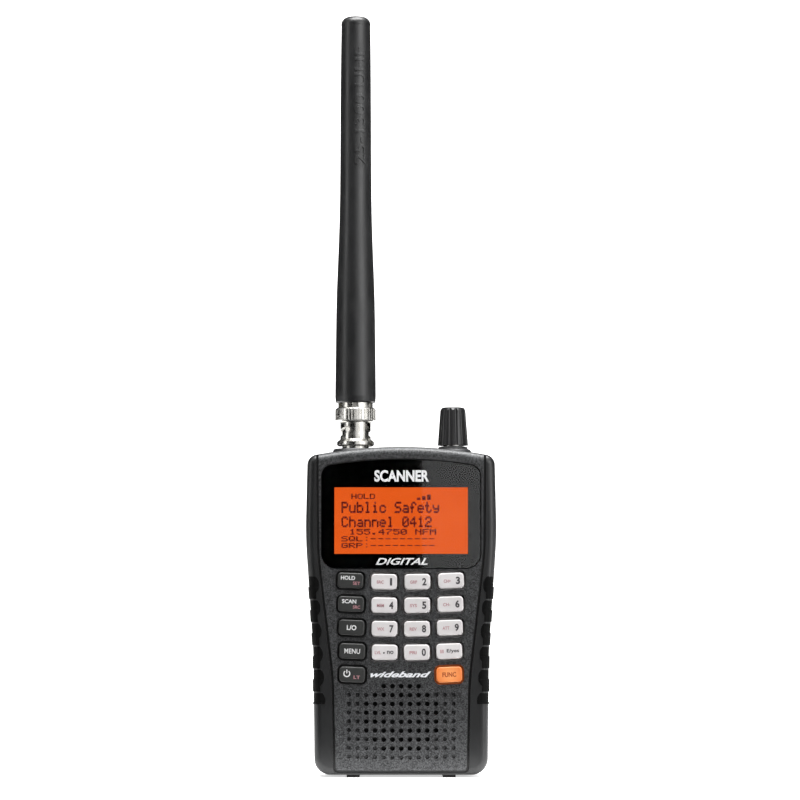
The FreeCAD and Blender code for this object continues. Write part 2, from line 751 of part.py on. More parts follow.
def antenna_collar():
    """Bayonet collar: a lip, a slotted barrel and a ribbed ring."""
    collar = turned(antenna_x, top_depth, [
        (collar_bore, collar_bottom), (lip_radius - 0.5, collar_bottom), (lip_radius, collar_bottom + 0.4),
        (lip_radius, lip_top - 0.5), (collar_radius, lip_top + 0.4), (collar_radius, ring_bottom - 0.3),
        (ring_radius - 0.5, ring_bottom), (ring_radius, ring_bottom + 0.5), (ring_radius, collar_top - 0.5),
        (ring_radius - 0.5, collar_top), (4.2, collar_top), (4.2, 131.6), (6.0, 131.6), (6.0, 129.9),
        (collar_bore, 129.9)])
    cutters = []
    for side in (0, 180):
        for cutter in stud_track():
            cutter.rotate(point(antenna_x, top_depth, 0), FreeCAD.Vector(0, 0, 1), side)
            cutters.append(cutter)
    for i in range(ring_ribs):
        rib = Part.makeCylinder(0.24, 8, FreeCAD.Vector(ring_radius + 0.08, 0, ring_bottom - 1))
        rib.rotate(FreeCAD.Vector(0, 0, 0), FreeCAD.Vector(0, 0, 1), 360 * i / ring_ribs)
        rib.translate(point(antenna_x, top_depth, 0))
        cutters.append(rib)
    return collar.cut(cutters)


def collar_washer():
    return turned(antenna_x, top_depth, [(4.3, 130.85), (5.8, 130.85), (5.8, 131.5), (4.3, 131.5)])


def antenna_plug():
    """The antenna's plug: contact pin, sleeve, shoulder inside the collar and notched neck."""
    plug = turned(antenna_x, top_depth, [
        (0, 121.8), (0.4, 121.8), (0.65, 122.6), (0.65, 128.0), (3.2, 128.0), (3.2, 122.0), (3.95, 122.0),
        (3.95, 130.0), (plug_flange, 130.0), (plug_flange, 130.8), (plug_shaft, 130.8), (plug_shaft, 132.95),
        (6.26, 132.95), (6.26, 134.7), (3.15, 134.7), (3.15, 142.0), (0, 142.0)])
    notches = []
    for i in range(6):
        notch = Part.makeBox(3, 2.2, 3, FreeCAD.Vector(5.1, -1.1, 132.5))
        notch.rotate(FreeCAD.Vector(0, 0, 0), FreeCAD.Vector(0, 0, 1), 60 * i + 30)
        notch.translate(point(antenna_x, top_depth, 0))
        notches.append(notch)
    return plug.cut(notches)


def antenna_sheath():
    """The rubber mast: wide at the foot, slimmer above, with a rounded tip."""
    side = Part.BSplineCurve()
    points = [point(antenna_x + r, top_depth, z) for r, z in sheath_side]
    side.interpolate(points)
    tip_radius = sheath_side[-1][0]
    top_edge = point(antenna_x + tip_radius - 2.4, top_depth, sheath_top)
    bend = point(antenna_x + tip_radius - 0.62, top_depth, sheath_top - 0.9)
    edges = [
        Part.LineSegment(point(antenna_x, top_depth, sheath_bottom), point(antenna_x + 6.9, top_depth, sheath_bottom)),
        Part.LineSegment(point(antenna_x + 6.9, top_depth, sheath_bottom),
                         point(antenna_x + 7.2, top_depth, sheath_bottom + 0.4)),
        Part.LineSegment(point(antenna_x + 7.2, top_depth, sheath_bottom + 0.4), points[0]),
        side,
        Part.Arc(points[-1], bend, top_edge),
        Part.LineSegment(top_edge, point(antenna_x, top_depth, sheath_top + 0.15)),
        Part.LineSegment(point(antenna_x, top_depth, sheath_top + 0.15), point(antenna_x, top_depth, sheath_bottom)),
    ]
    face = Part.Face(Part.Wire([edge.toShape() for edge in edges]))
    mast = face.revolve(point(antenna_x, top_depth, 0), FreeCAD.Vector(0, 0, 1), 360)
    return mast.cut(rod_up(antenna_x, top_depth, sheath_bore, sheath_bottom - 1, 262))


def antenna_core():
    """The wound core sealed inside the mast."""
    rod = rod_up(antenna_x, top_depth, 1.6, 142.1, 260)
    rings = [rod_up(antenna_x, top_depth, 2.4, z, z + 3) for z in range(150, 250, 6)]
    return joined([rod] + rings)


def belt_clip():
    """A bent plate with two knuckles, a thumb tab above the pin and a hooked lower end."""
    back = clip_back
    nose_depth = case_depth + 2.2
    profile = [(back - clip_thick - 1.2, clip_top), (back - 1.2, clip_top), (back, clip_axis_z), (back, clip_foot + 12),
               (nose_depth + 1.4, clip_foot - 1.1), (nose_depth, clip_foot - 1.8), (nose_depth - 1.8, clip_foot),
               (nose_depth - 1.3, clip_foot + 1.2), (back - clip_thick, clip_foot + 12.8),
               (back - clip_thick, clip_axis_z - 1)]
    wire = Part.makePolygon([point(-clip_half, d, z) for d, z in profile + profile[:1]])
    plate = Part.Face(wire).extrude(FreeCAD.Vector(2 * clip_half, 0, 0))
    knuckles = []
    for side in (-1, 1):
        x0, x1 = sorted((side * 6.4, side * (lug_inner - 0.25)))
        knuckle = rod_across(x0, x1, clip_axis_depth, clip_axis_z, 2.7)
        arm = block(x0, x1, clip_axis_depth, back - 1.0, clip_axis_z - 2.7, clip_axis_z + 2.7)
        knuckles.append(knuckle.fuse(arm))
    clip = joined([plate] + knuckles)
    return clip.cut(rod_across(-20, 20, clip_axis_depth, clip_axis_z, clip_pin_radius + clip_play))


def clip_pin():
    return rod_across(-lug_outer, lug_outer, clip_axis_depth, clip_axis_z, clip_pin_radius)


def clip_spring():
    """A torsion spring round the pin. One leg presses the case, the other the clip."""
    radius = 2.1
    wire_radius = 0.35
    turns = 5.25
    pitch = 1.4
    path = Part.makeHelix(pitch, turns * pitch, radius)
    start = FreeCAD.Vector(radius, 0, 0)
    circle = Part.Wire(Part.makeCircle(wire_radius, start, FreeCAD.Vector(0, 1, 0)))
    coil = Part.Wire(path).makePipeShell([circle], True, True)
    coil.rotate(FreeCAD.Vector(0, 0, 0), FreeCAD.Vector(0, 1, 0), 90)
    coil.translate(point(-turns * pitch / 2, clip_axis_depth, clip_axis_z))
    return coil


nodes = {
    "front_case": front_case,
    "face_plate": face_plate,
    "rear_case": rear_case,
    "grip_left": lambda: grip(-1),
    "grip_right": lambda: grip(1),
    "display_window": window,
    "window_mask": window_mask,
    "lcd_panel": lcd_panel,
    "light_guide": light_guide,
    "speaker_cloth": speaker_cloth,
    "speaker_frame": speaker_frame,
    "speaker_magnet": speaker_magnet,
    "speaker_cone": speaker_cone,
    "keypad_mat": keypad_mat,
    "main_board": main_board,
    "board_components": board_components,
    "rf_shield": rf_shield,
    "battery_cells": battery_cells,
    "battery_contacts": battery_contacts,
    "battery_door": battery_door,
    "door_latch": door_latch,
    "case_screws": case_screws,
    "feet": feet,
    "earphone_jack": earphone_jack,
    "usb_jack": usb_jack,
    "bnc_jack": bnc_jack,
    "bnc_insulator": bnc_insulator,
    "bnc_gasket": bnc_gasket,
    "panel_nuts": panel_nuts,
    "knob_gasket": knob_gasket,
    "encoder_body": encoder_body,
    "encoder_plunger": encoder_plunger,
    "encoder_shaft": encoder_shaft,
    "volume_knob": volume_knob,
    "antenna_collar": antenna_collar,
    "collar_washer": collar_washer,
    "antenna_plug": antenna_plug,
    "antenna_sheath": antenna_sheath,
    "antenna_core": antenna_core,
    "belt_clip": belt_clip,
    "clip_pin": clip_pin,
    "clip_spring": clip_spring,
}


def main():
    os.makedirs("parts", exist_ok=True)
    for name, make in nodes.items():
        make().exportStep("parts/" + name + ".step")
    for name, x, z, tilt in key_places():
        put_key(key(), x, z, tilt).exportStep("parts/" + name + ".step")


main()
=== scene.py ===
import math

import bmesh
import bpy
from mathutils import Matrix, Vector


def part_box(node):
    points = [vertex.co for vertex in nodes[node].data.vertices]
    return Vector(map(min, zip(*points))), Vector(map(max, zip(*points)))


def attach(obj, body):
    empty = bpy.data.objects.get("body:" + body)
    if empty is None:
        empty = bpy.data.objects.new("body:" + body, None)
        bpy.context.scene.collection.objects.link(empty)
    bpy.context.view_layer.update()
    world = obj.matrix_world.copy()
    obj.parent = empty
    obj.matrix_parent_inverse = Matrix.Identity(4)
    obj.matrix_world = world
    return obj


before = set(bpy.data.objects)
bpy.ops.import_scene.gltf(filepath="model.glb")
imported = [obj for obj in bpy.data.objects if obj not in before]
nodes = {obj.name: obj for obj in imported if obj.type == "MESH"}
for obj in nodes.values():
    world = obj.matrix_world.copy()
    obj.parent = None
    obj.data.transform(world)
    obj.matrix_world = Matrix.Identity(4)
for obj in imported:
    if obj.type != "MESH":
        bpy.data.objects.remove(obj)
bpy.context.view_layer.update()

# The looks of a handheld scanner radio. Metres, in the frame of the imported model:
# +X to the right as the user faces the keypad, -Y towards the user, +Z up.
mm = 0.001

# Surfaces that are printed on
lens_stand = 0.2 * mm       # how far the lens stands in front of the face plate
plate_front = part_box("display_window")[0].y + lens_stand
mask_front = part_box("window_mask")[0].y
lcd_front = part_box("lcd_panel")[0].y

# Camera
camera_distance = 1.2       # in front of the face plate
camera_height = 0.055
view_width = 0.2869         # how much of the face plate's plane the picture takes in
view_centre = (-0.0004, 0.1348)     # X and Z of the point that it looks at

# Floor and backdrop: one sheet
floor_half = 3.5
backdrop_y = 2.4
backdrop_bend = 0.5
backdrop_steps = 10
backdrop_glow = 0.55
sky_level = 1.0

# Lights: name, place, target, width, height, brightness
middle = (0, 0, 0.12)
foot = (0.02, -0.02, 0.03)
studio_lights = [
    ("top_softbox", (0.05, -0.12, 1.05), middle, 0.9, 0.6, 15.0),
    ("right_softbox", (0.80, -0.70, 0.30), middle, 0.22, 0.9, 3.0),
    ("left_strip", (-0.86, -0.36, 0.35), middle, 0.26, 0.9, 2.6),
    ("key_fill", (0.75, -1.15, 0.60), middle, 0.5, 0.5, 4.0),
    ("low_fill", (0.17, -0.16, 0.05), foot, 0.06, 0.08, 2.4),
    ("rear_softbox", (0.25, 0.75, 0.80), middle, 0.6, 0.6, 4.0),
]

# Black cards round the object
card_foot = 0.004
card_top = 1.2
card_front = plate_front - camera_distance - 0.05   # just behind the camera
card_back = 0.45
card_side = 0.95
front_card_left = -1.6
front_card_right = 0.0157   # it ends here, so the window shows it only on its left
right_card_front = -0.24
floor_card_half = 0.5
floor_card_back = -0.045

# The opening in the black mask, over the display
view_half = 23.9 * mm
view_bottom = 79.7 * mm
view_top = 103.5 * mm
view_margin = 0.3 * mm      # the lamp's light reaches this far under the mask

# Printed matter
ink_thickness = 0.03 * mm
ink_lift = 0.01 * mm
dot_pitch = 0.45 * mm
dot_swell = 1.35            # lit dots spread a little into their neighbours

# Keys
dark_keys = ("key_hold", "key_scan", "key_lockout", "key_menu", "key_power")
key_tilt = math.radians(2.2)    # of the outer columns, in the plane of the face
outer_column = 17.8 * mm
power_ring_outer = 1.25 * mm
power_ring_inner = 0.88 * mm
power_ring_gap = math.radians(38)   # on each side of the top
power_ring_steps = 28
power_bar_width = 0.36 * mm
power_bar_height = 1.3 * mm
power_bar_up = 0.75 * mm

# Raised letters on the antenna
letters_height = 243 * mm   # of the middle of the words above the floor
letters_radius = 5.5 * mm   # of the sheath at that height
letters_taper = 0.0081
letters_rise = 0.34 * mm
letters_turn = 0.28         # radians round from the front
letters_tall = 4.0 * mm
letters_long = 43 * mm
letters_slices = 6          # cuts on each side of the middle, so that the faces can bend


# ---------------------------------------------------------------- node trees

def new_material(name):
    """A material with a plain Principled surface. Returns the material, its tree and its shader."""
    material = bpy.data.materials.new(name)
    material.use_nodes = True
    tree = material.node_tree
    return material, tree, tree.nodes["Principled BSDF"]


def add(tree, kind, values=None, **settings):
    """Adds a node, with its settings and input values."""
    node = tree.nodes.new(kind)
    for key, value in settings.items():
        setattr(node, key, value)
    for key, value in (values or {}).items():
        node.inputs[key].default_value = value
    return node


def feed(tree, shader, **sockets):
    """Runs values into the shader's sockets. A socket's name is written with _ for its spaces."""
    for key, value in sockets.items():
        tree.links.new(value, shader.inputs[key.replace("_", " ")])


def rgb(red, green, blue):
    return (red, green, blue, 1.0)


def scaled(colour, factor, offset=0.0):
    """A colour made paler or darker."""
    return rgb(*[channel * factor + offset for channel in colour])


def place(tree):
    """Object coordinates in metres, which stay with the piece when it moves."""
    return add(tree, "ShaderNodeTexCoord").outputs["Object"]


def noise(tree, scale, detail=3.0, roughness=0.55, distortion=0.0, stretch=None):
    """Noise of about 1 / scale metres. stretch scales the three axes apart."""
    values = {"Scale": scale, "Detail": detail, "Roughness": roughness, "Distortion": distortion}
    texture = add(tree, "ShaderNodeTexNoise", values)
    source = place(tree)
    if stretch:
        mapping = add(tree, "ShaderNodeMapping", {"Scale": stretch})
        tree.links.new(source, mapping.inputs["Vector"])
        source = mapping.outputs["Vector"]
    tree.links.new(source, texture.inputs["Vector"])
    return texture.outputs["Fac"]


def cells(tree, scale, feature="F1"):
    """Irregular cells of about 1 / scale metres."""
    texture = add(tree, "ShaderNodeTexVoronoi", {"Scale": scale}, feature=feature)
    tree.links.new(place(tree), texture.inputs["Vector"])
    return texture


def ramp(tree, value, low, high, low_at=0.3, high_at=0.7):
    """Maps a value to a colour between two colours."""
    node = add(tree, "ShaderNodeValToRGB")
    node.color_ramp.elements[0].position = low_at
    node.color_ramp.elements[0].color = low
    node.color_ramp.elements[1].position = high_at
    node.color_ramp.elements[1].color = high
    tree.links.new(value, node.inputs["Fac"])
    return node.outputs["Color"]


def spread(tree, value, low, high, low_from=0.3, high_from=0.7):
    """Maps a value to a number between two numbers."""
    values = {"From Min": low_from, "From Max": high_from, "To Min": low, "To Max": high}
    node = add(tree, "ShaderNodeMapRange", values)
    tree.links.new(value, node.inputs["Value"])
    return node.outputs["Result"]


def blend_colours(tree, share, first, second, mode="MIX"):
    """Mixes two colours, each a node's output or a plain colour."""
    node = add(tree, "ShaderNodeMix", data_type="RGBA", blend_type=mode)
    if isinstance(share, float):
        node.inputs["Factor"].default_value = share
    else:
        tree.links.new(share, node.inputs["Factor"])
    colour_sockets = [socket for socket in node.inputs if socket.type == "RGBA"]
    for socket, value in zip(colour_sockets, (first, second)):
        if isinstance(value, tuple):
            socket.default_value = value
        else:
            tree.links.new(value, socket)
    return [socket for socket in node.outputs if socket.type == "RGBA"][0]


def multiply(tree, first, second):
    """The product of two numbers."""
    node = add(tree, "ShaderNodeMath", operation="MULTIPLY")
    tree.links.new(first, node.inputs[0])
    tree.links.new(second, node.inputs[1])
    return node.outputs["Value"]


def axis_of(tree, vector, axis):
    """One coordinate of a vector."""
    split = add(tree, "ShaderNodeSeparateXYZ")
    tree.links.new(vector, split.inputs["Vector"])
    return split.outputs[axis]


def edge_mask(tree, radius):
    """Near 1 on edges sharper than the radius, and 0 on the flats beside them."""
    bevel = add(tree, "ShaderNodeBevel", {"Radius": radius}, samples=4)
    geometry = add(tree, "ShaderNodeNewGeometry")
    product = add(tree, "ShaderNodeVectorMath", operation="DOT_PRODUCT")
    tree.links.new(bevel.outputs["Normal"], product.inputs[0])
    tree.links.new(geometry.outputs["Normal"], product.inputs[1])
    return spread(tree, product.outputs["Value"], 1.0, 0.0, low_from=0.86, high_from=0.995)


def relief(tree, heights, edge_radius=None):
    """Stacks bumps of (value, height in metres, strength) on the surface, over softly rounded edges."""
    normal = None
    if edge_radius:
        normal = add(tree, "ShaderNodeBevel", {"Radius": edge_radius}, samples=4).outputs["Normal"]
    for value, height, strength in heights:
        bump = add(tree, "ShaderNodeBump", {"Distance": height, "Strength": strength})
        tree.links.new(value, bump.inputs["Height"])
        if normal is not None:
            tree.links.new(normal, bump.inputs["Normal"])
        normal = bump.outputs["Normal"]
    return normal


# ---------------------------------------------------------------- materials

def moulded(name, colour, roughness, grain=3200.0, grain_height=0.02 * mm, edge_wear_and_highlight=0.35, edge=0.12 * mm):
    """Moulded plastic: a fine spark-eroded grain, soft blotches of gloss, and paler edges that are partly
    rubbed wear and partly a painted highlight.
    """
    material, tree, shader = new_material(name)
    blotches = noise(tree, scale=90.0, detail=4.0)
    tone = ramp(tree, blotches, scaled(colour, 0.88), scaled(colour, 1.12))
    # Paler edges: partly rubbed wear, partly a painted highlight where the edges catch the light
    if edge_wear_and_highlight:
        rubbing_and_highlight = spread(tree, noise(tree, scale=420.0), 0.0, edge_wear_and_highlight, low_from=0.35, high_from=0.75)
        share = multiply(tree, edge_mask(tree, edge * 2), rubbing_and_highlight)
        tone = blend_colours(tree, share, tone, scaled(colour, 1.9, 0.02))
    gloss = spread(tree, noise(tree, scale=160.0, detail=4.0), roughness - 0.02, roughness + 0.03)
    sparks = (noise(tree, scale=grain, detail=2.0, roughness=0.6), grain_height, 0.55)
    feed(tree, shader, Base_Color=tone, Roughness=gloss, Normal=relief(tree, [sparks], edge))
    return material


def flake_paint():
    """Dark grey paint with metal flakes: each small cell has its own tone and its own lean."""
    material, tree, shader = new_material("flake_paint")
    flakes = cells(tree, scale=2700.0)
    dark = rgb(0.007, 0.0073, 0.0078)
    pale = rgb(0.085, 0.087, 0.090)
    tone = ramp(tree, flakes.outputs["Color"], dark, pale, low_at=0.2, high_at=0.95)
    gloss = spread(tree, flakes.outputs["Distance"], 0.34, 0.5, low_from=0.0, high_from=0.6)
    lean = (flakes.outputs["Color"], 0.03 * mm, 0.2)
    feed(tree, shader, Base_Color=tone, Roughness=gloss, Normal=relief(tree, [lean], 0.1 * mm))
    shader.inputs["Metallic"].default_value = 0.3
    shader.inputs["Coat Weight"].default_value = 0.12
    shader.inputs["Coat Roughness"].default_value = 0.3
    return material


def rubber(name, colour, roughness, grain=2600.0, dust=0.25, streak=None, specular=0.5):
    """Rubber: a dull, slightly powdery surface with a fine pitted grain."""
    material, tree, shader = new_material(name)
    patches = noise(tree, scale=55.0, detail=5.0, roughness=0.6, distortion=0.3, stretch=streak)
    tone = ramp(tree, patches, scaled(colour, 0.8), scaled(colour, 1.9), low_at=0.35, high_at=0.8)
    powder = spread(tree, noise(tree, scale=700.0), 0.0, dust, low_from=0.5, high_from=0.85)
    tone = blend_colours(tree, powder, tone, rgb(0.10, 0.10, 0.10))
    gloss = spread(tree, noise(tree, scale=130.0, detail=4.0), roughness - 0.06, roughness + 0.07)
    pits = (noise(tree, scale=grain, detail=3.0, roughness=0.65), 0.025 * mm, 0.5)
    swell = (noise(tree, scale=180.0, detail=2.0, roughness=0.5, stretch=streak), 0.06 * mm, 0.18)
    feed(tree, shader, Base_Color=tone, Roughness=gloss, Normal=relief(tree, [pits, swell], 0.12 * mm))
    shader.inputs["Specular IOR Level"].default_value = specular
    return material


def polished_metal(name, colour, roughness):
    """Plated metal with fine turning lines and faint stains in the plating."""
    material, tree, shader = new_material(name)
    stained = rgb(colour[0] * 0.86, colour[1] * 0.84, colour[2] * 0.80)
    stains = noise(tree, scale=260.0, detail=5.0, roughness=0.6)
    tone = ramp(tree, stains, stained, rgb(*colour), low_at=0.25, high_at=0.6)
    gloss = spread(tree, noise(tree, scale=500.0, detail=4.0), roughness * 0.7, roughness * 1.6)
    turning = noise(tree, scale=1600.0, detail=2.0, roughness=0.5, stretch=(1.0, 1.0, 6.0))
    lines = relief(tree, [(turning, 0.004 * mm, 0.2)], 0.08 * mm)
    feed(tree, shader, Base_Color=tone, Roughness=gloss, Normal=lines)
    shader.inputs["Metallic"].default_value = 1.0
    return material


def clear_lens():
    """Polished acrylic, blackened and dull round its rim, with a coating against reflections."""
    material, tree, shader = new_material("clear_lens")
    facing = add(tree, "ShaderNodeMath", operation="ABSOLUTE")
    own_normal = add(tree, "ShaderNodeTexCoord").outputs["Normal"]
    tree.links.new(axis_of(tree, own_normal, "Y"), facing.inputs[0])
    front = facing.outputs["Value"]     # 1 on the front and the back, less round the rim
    tone = ramp(tree, front, rgb(0.0, 0.0, 0.0), rgb(0.97, 0.98, 0.98), low_at=0.93, high_at=0.98)
    gloss = spread(tree, front, 0.8, 0.01, low_from=0.93, high_from=0.98)
    wiping = noise(tree, scale=300.0, detail=6.0, roughness=0.7, distortion=1.5, stretch=(1.0, 1.0, 9.0))
    scratches = relief(tree, [(wiping, 0.002 * mm, 0.05)])
    feed(tree, shader, Base_Color=tone, Roughness=gloss, Normal=scratches)
    shader.inputs["Transmission Weight"].default_value = 1.0
    shader.inputs["IOR"].default_value = 1.2
    return material


def printed_mask():
    """The glossy black print behind the lens, its gloss a little uneven."""
    material, tree, shader = new_material("printed_mask")
    tone = ramp(tree, noise(tree, scale=700.0), rgb(0.0008, 0.0008, 0.0008), rgb(0.0016, 0.0016, 0.0018))
    gloss = spread(tree, noise(tree, scale=300.0), 0.02, 0.05)
    feed(tree, shader, Base_Color=tone, Roughness=gloss)
    return material


def backlit_orange():
    """Translucent orange rubber, palest in the middle where the lamp behind it is nearest."""
    material, tree, shader = new_material("key_orange")
    away = add(tree, "ShaderNodeVectorMath", operation="DISTANCE")
    tree.links.new(place(tree), away.inputs[0])
    away.inputs[1].default_value = key_frame("key_function")[0]
    near = spread(tree, away.outputs["Value"], 1.0, 0.0, low_from=0.6 * mm, high_from=5.0 * mm)
    tone = blend_colours(tree, near, rgb(0.70, 0.17, 0.035), rgb(0.82, 0.33, 0.11))
    uneven = ramp(tree, noise(tree, scale=400.0), rgb(0.93, 0.93, 0.93), rgb(1.0, 1.0, 1.0))
    tone = blend_colours(tree, 1.0, tone, uneven, "MULTIPLY")
    grain = relief(tree, [(noise(tree, scale=3000.0), 0.008 * mm, 0.4)], 0.1 * mm)
    feed(tree, shader, Base_Color=tone, Emission_Color=tone, Normal=grain)
    shader.inputs["Emission Strength"].default_value = 0.12
    shader.inputs["Roughness"].default_value = 0.38
    return material


def inside(tree, low, high):
    """1 between two corners in X and Z, and 0 outside them."""
    tests = []
    for axis, least, most in (("X", low[0], high[0]), ("Z", low[1], high[1])):
        for edge, sense in ((least, "GREATER_THAN"), (most, "LESS_THAN")):
            test = add(tree, "ShaderNodeMath", {1: edge}, operation=sense)
            tree.links.new(axis_of(tree, place(tree), axis), test.inputs[0])
            tests.append(test.outputs["Value"])
    product = tests[0]
    for test in tests[1:]:
        product = multiply(tree, product, test)
    return product


def lit_display():
    """Liquid crystal glass: a fine dot grid, lit from behind only where the mask is open."""
    material, tree, shader = new_material("lit_display")
    glow = ramp(tree, noise(tree, scale=45.0, detail=2.0), rgb(0.79, 0.098, 0.008), rgb(0.84, 0.120, 0.016))
    grid_values = {
        "Scale": 1.0,
        "Mortar Size": 0.04 * mm,
        "Brick Width": dot_pitch,
        "Row Height": dot_pitch,
        "Color1": rgb(1, 1, 1),
        "Color2": rgb(1, 1, 1),
        "Mortar": rgb(0.93, 0.90, 0.88),
    }
    grid = add(tree, "ShaderNodeTexBrick", grid_values, offset=0.0)
    upright_turn = add(tree, "ShaderNodeMapping", {"Rotation": (math.pi / 2, 0, 0)})
    tree.links.new(place(tree), upright_turn.inputs["Vector"])
    tree.links.new(upright_turn.outputs["Vector"], grid.inputs["Vector"])
    tone = blend_colours(tree, 1.0, glow, grid.outputs["Color"], "MULTIPLY")
    unlit = blend_colours(tree, 1.0, tone, rgb(0.12, 0.12, 0.12), "MULTIPLY")
    low = (-view_half - view_margin, view_bottom - view_margin)
    high = (view_half + view_margin, view_top + view_margin)
    strength = spread(tree, inside(tree, low, high), 0.0, 0.93, low_from=0.0, high_from=1.0)
    feed(tree, shader, Emission_Color=tone, Emission_Strength=strength, Base_Color=unlit)
    shader.inputs["Roughness"].default_value = 0.4
    shader.inputs["Specular IOR Level"].default_value = 0.05
    return material


def ink(name, colour, roughness=0.45, glow=0.0):
    """Pad-printed ink: slightly uneven cover."""
    material, tree, shader = new_material(name)
    cover = noise(tree, scale=1500.0)
    tone = ramp(tree, cover, scaled(colour, 0.86), rgb(*colour), low_at=0.3, high_at=0.55)
    grain = relief(tree, [(noise(tree, scale=3000.0), 0.006 * mm, 0.3)])
    feed(tree, shader, Base_Color=tone, Normal=grain)
    if glow:
        feed(tree, shader, Emission_Color=tone)
        shader.inputs["Emission Strength"].default_value = glow
    shader.inputs["Roughness"].default_value = roughness
    return material


def cloth(name, colour):
    """Woven cloth, or paper with a ribbed face."""
    material, tree, shader = new_material(name)
    values = {"Scale": 900.0, "Distortion": 0.6}
    weave = add(tree, "ShaderNodeTexWave", values, wave_type="BANDS", bands_direction="X")
    tree.links.new(place(tree), weave.inputs["Vector"])
    tone = ramp(tree, weave.outputs["Fac"], scaled(colour, 0.4), rgb(*colour))
    ribs = relief(tree, [(weave.outputs["Fac"], 0.05 * mm, 0.8)])
    feed(tree, shader, Base_Color=tone, Normal=ribs)
    shader.inputs["Roughness"].default_value = 0.95
    return material


def circuit_board():
    """Green solder mask over copper tracks."""
    material, tree, shader = new_material("circuit_board")
    tracks = cells(tree, scale=420.0, feature="DISTANCE_TO_EDGE").outputs["Distance"]
    tone = ramp(tree, tracks, rgb(0.05, 0.26, 0.10), rgb(0.012, 0.11, 0.045), low_at=0.02, high_at=0.06)
    feed(tree, shader, Base_Color=tone, Normal=relief(tree, [(tracks, 0.03 * mm, 0.3)]))
    shader.inputs["Roughness"].default_value = 0.32
    return material


def cell_sleeve():
    """The plain printed sleeve of a battery cell, with a bright band at its foot."""
    material, tree, shader = new_material("cell_sleeve")
    band_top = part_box("battery_cells")[0].z + 10 * mm
    height = axis_of(tree, place(tree), "Z")
    above = spread(tree, height, 0.0, 1.0, low_from=band_top, high_from=band_top + 0.3 * mm)
    tone = blend_colours(tree, above, rgb(0.62, 0.45, 0.12), rgb(0.025, 0.028, 0.035))
    gloss = spread(tree, noise(tree, scale=200.0), 0.25, 0.4)
    feed(tree, shader, Base_Color=tone, Roughness=gloss)
    shader.inputs["Metallic"].default_value = 0.4
    return material


# ---------------------------------------------------------------- lettering

# Letters of five columns and seven rows. = stands for the three bars of the signal meter.
GLYPHS = {
    "C": "01110 10001 10000 10000 10000 10001 01110",
    "D": "11110 10001 10001 10001 10001 10001 11110",
    "F": "11111 10000 10000 11110 10000 10000 10000",
    "G": "01110 10001 10000 10111 10001 10001 01110",
    "H": "10001 10001 10001 11111 10001 10001 10001",
    "L": "10000 10000 10000 10000 10000 10000 11111",
    "M": "10001 11011 10101 10101 10001 10001 10001",
    "N": "10001 11001 10101 10011 10001 10001 10001",
    "O": "01110 10001 10001 10001 10001 10001 01110",
    "P": "11110 10001 10001 11110 10000 10000 10000",
    "Q": "01110 10001 10001 10001 10101 10010 01101",
    "R": "11110 10001 10001 11110 10100 10010 10001",
    "S": "01111 10000 10000 01110 00001 00001 11110",
    "a": "00000 00000 01110 00001 01111 10001 01111",
    "b": "10000 10000 11110 10001 10001 10001 11110",
    "c": "00000 00000 01110 10001 10000 10001 01110",
    "e": "00000 00000 01110 10001 11111 10000 01110",
    "f": "00110 01001 01000 11100 01000 01000 01000",
    "h": "10000 10000 11110 10001 10001 10001 10001",
    "i": "00100 00000 01100 00100 00100 00100 01110",
    "l": "01100 00100 00100 00100 00100 00100 01110",
    "n": "00000 00000 11110 10001 10001 10001 10001",
    "t": "01000 01000 11100 01000 01000 01001 00110",
    "u": "00000 00000 10001 10001 10001 10001 01111",
    "y": "00000 00000 10001 10001 01111 00001 01110",
    "0": "01110 10001 10011 10101 11001 10001 01110",
    "1": "00100 01100 00100 00100 00100 00100 01110",
    "2": "01110 10001 00001 00110 01000 10000 11111",
    "4": "00010 00110 01010 10010 11111 00010 00010",
    "5": "11111 10000 11110 00001 00001 10001 01110",
    "7": "11111 00001 00010 00100 01000 01000 01000",
    "-": "00000 00000 00000 11110 00000 00000 00000",
    ":": "00000 00100 00000 00000 00000 00100 00000",
    ".": "00000 00000 00000 00000 00000 01100 01100",
    "=": "00001 00001 00101 00101 10101 10101 10101",
}
glyph_columns = 6           # five and a gap
glyph_rows = 7


def dot_lines():
    """The lines on the display: text, left edge, top edge, width of a letter's cell, letter height."""
    rows = [
        ("HOLD", -17.8, 2.3, 2.2, 1.8),
        ("=", 5.8, 2.6, 5.6, 1.9),
        ("Public Safety", -21.3, 5.2, 2.72, 3.9),
        ("Channel 0412", -21.3, 10.5, 2.72, 3.7),
        ("155.4750 NFM", -18.5, 14.9, 2.62, 2.0),
        ("SQL:---------", -21.3, 17.5, 2.62, 1.8),
        ("GRP:---------", -21.3, 19.9, 2.62, 1.8),
    ]
    return [(text, left * mm, view_top - down * mm, cell * mm, height * mm)
            for text, left, down, cell, height in rows]


def lit_dots():
    """Centre and size, in X and Z, of every lit dot of the display."""
    for text, left, top, cell, height in dot_lines():
        dot_x = cell / glyph_columns
        dot_z = height / glyph_rows
        for index, letter in enumerate(text):
            for row, bits in enumerate(GLYPHS.get(letter, "").split()):
                for column, bit in enumerate(bits):
                    if bit == "1":
                        x = left + index * cell + (column + 0.5) * dot_x
                        z = top - (row + 0.5) * dot_z
                        yield x, z, dot_x * dot_swell, dot_z * dot_swell


def dot_matrix_text():
    """Every lit dot of the display as a small raised square."""
    mesh = bmesh.new()
    middle_y = lcd_front - ink_lift - ink_thickness / 2
    for x, z, width, height in lit_dots():
        size = Matrix.Diagonal((width, ink_thickness, height, 1.0))
        bmesh.ops.create_cube(mesh, size=1.0, matrix=Matrix.Translation((x, middle_y, z)) @ size)
    return mesh_piece("display_text", mesh, display_ink, "case")


def new_piece(name, data, material, body):
    """Puts a mesh in the scene as a piece that rides on a body."""
    data.materials.append(material)
    piece = bpy.data.objects.new(name, data)
    bpy.context.scene.collection.objects.link(piece)
    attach(piece, body)
    return piece


